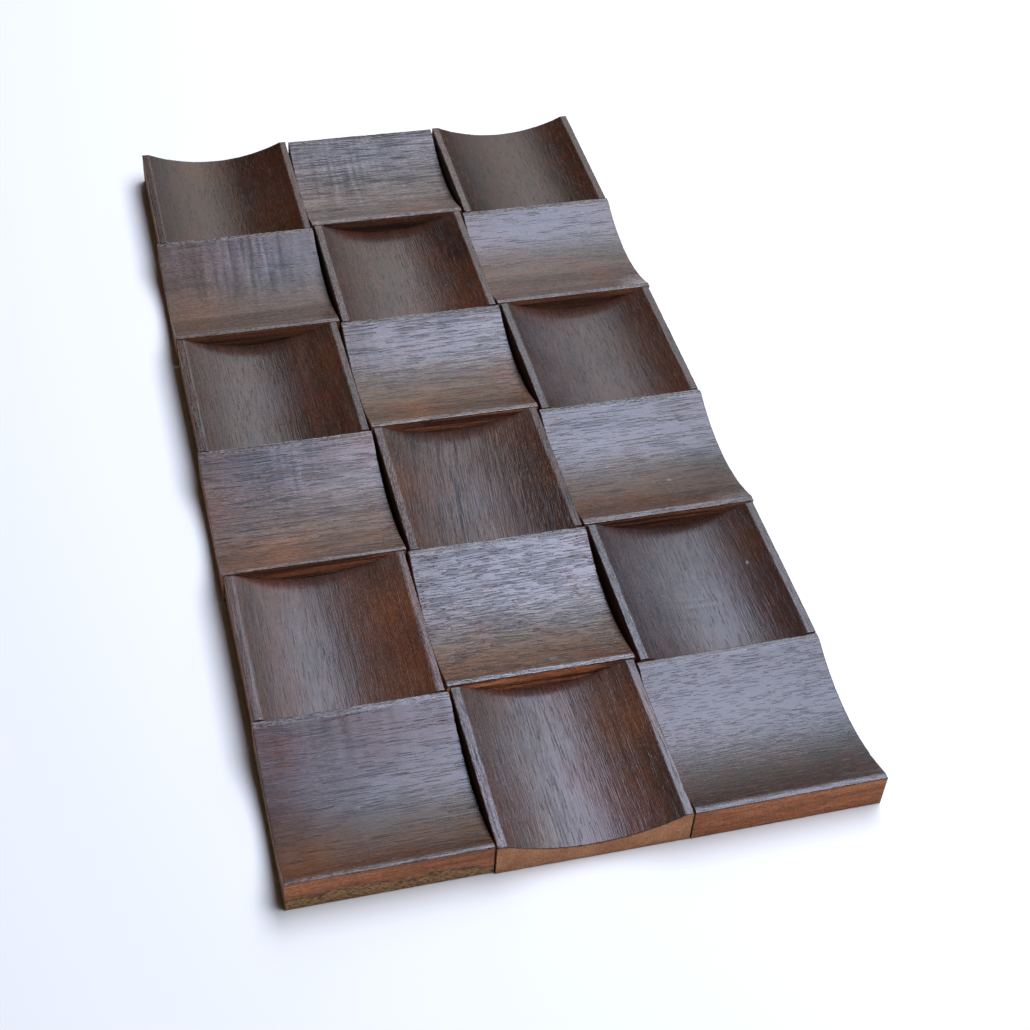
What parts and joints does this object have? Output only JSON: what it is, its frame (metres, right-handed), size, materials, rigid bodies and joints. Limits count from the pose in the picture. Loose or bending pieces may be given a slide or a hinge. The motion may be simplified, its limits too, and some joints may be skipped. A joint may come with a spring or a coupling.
{
  "type": "wood block wall panel",
  "caption": "Oblong wall panel of near-square hardwood blocks with hollowed faces, turned alternately along and across it like a basket weave, flat at the back.",
  "frame": {"origin": "centre of the underside of the middle block of the third row from the back edge, on the plane that meets the wall", "axes": "+Z out of the face, away from the wall; +Y along the longer side, up the wall; +X across the panel, to the right as it hangs"},
  "size_m": [0.3019, 0.6, 0.021],
  "materials": {
    "grey_brown_stain": "open-pored hardwood, grey-brown stain under a satin sheen",
    "dark_brown_stain": "open-pored hardwood, dark brown stain under a satin sheen",
    "red_brown_stain": "open-pored hardwood, reddish brown stain under a satin sheen"
  },
  "bodies": {
    "root": {"block_row1_left": "dark_brown_stain", "block_row1_middle": "grey_brown_stain", "block_row1_right": "dark_brown_stain", "block_row2_left": "grey_brown_stain", "block_row2_middle": "dark_brown_stain", "block_row2_right": "grey_brown_stain", "block_row3_left": "dark_brown_stain", "block_row3_middle": "grey_brown_stain", "block_row3_right": "dark_brown_stain", "block_row4_left": "red_brown_stain", "block_row4_middle": "dark_brown_stain", "block_row4_right": "grey_brown_stain", "block_row5_left": "dark_brown_stain", "block_row5_middle": "grey_brown_stain", "block_row5_right": "dark_brown_stain", "block_row6_left": "red_brown_stain", "block_row6_middle": "dark_brown_stain", "block_row6_right": "grey_brown_stain"}
  },
  "joints": []
}
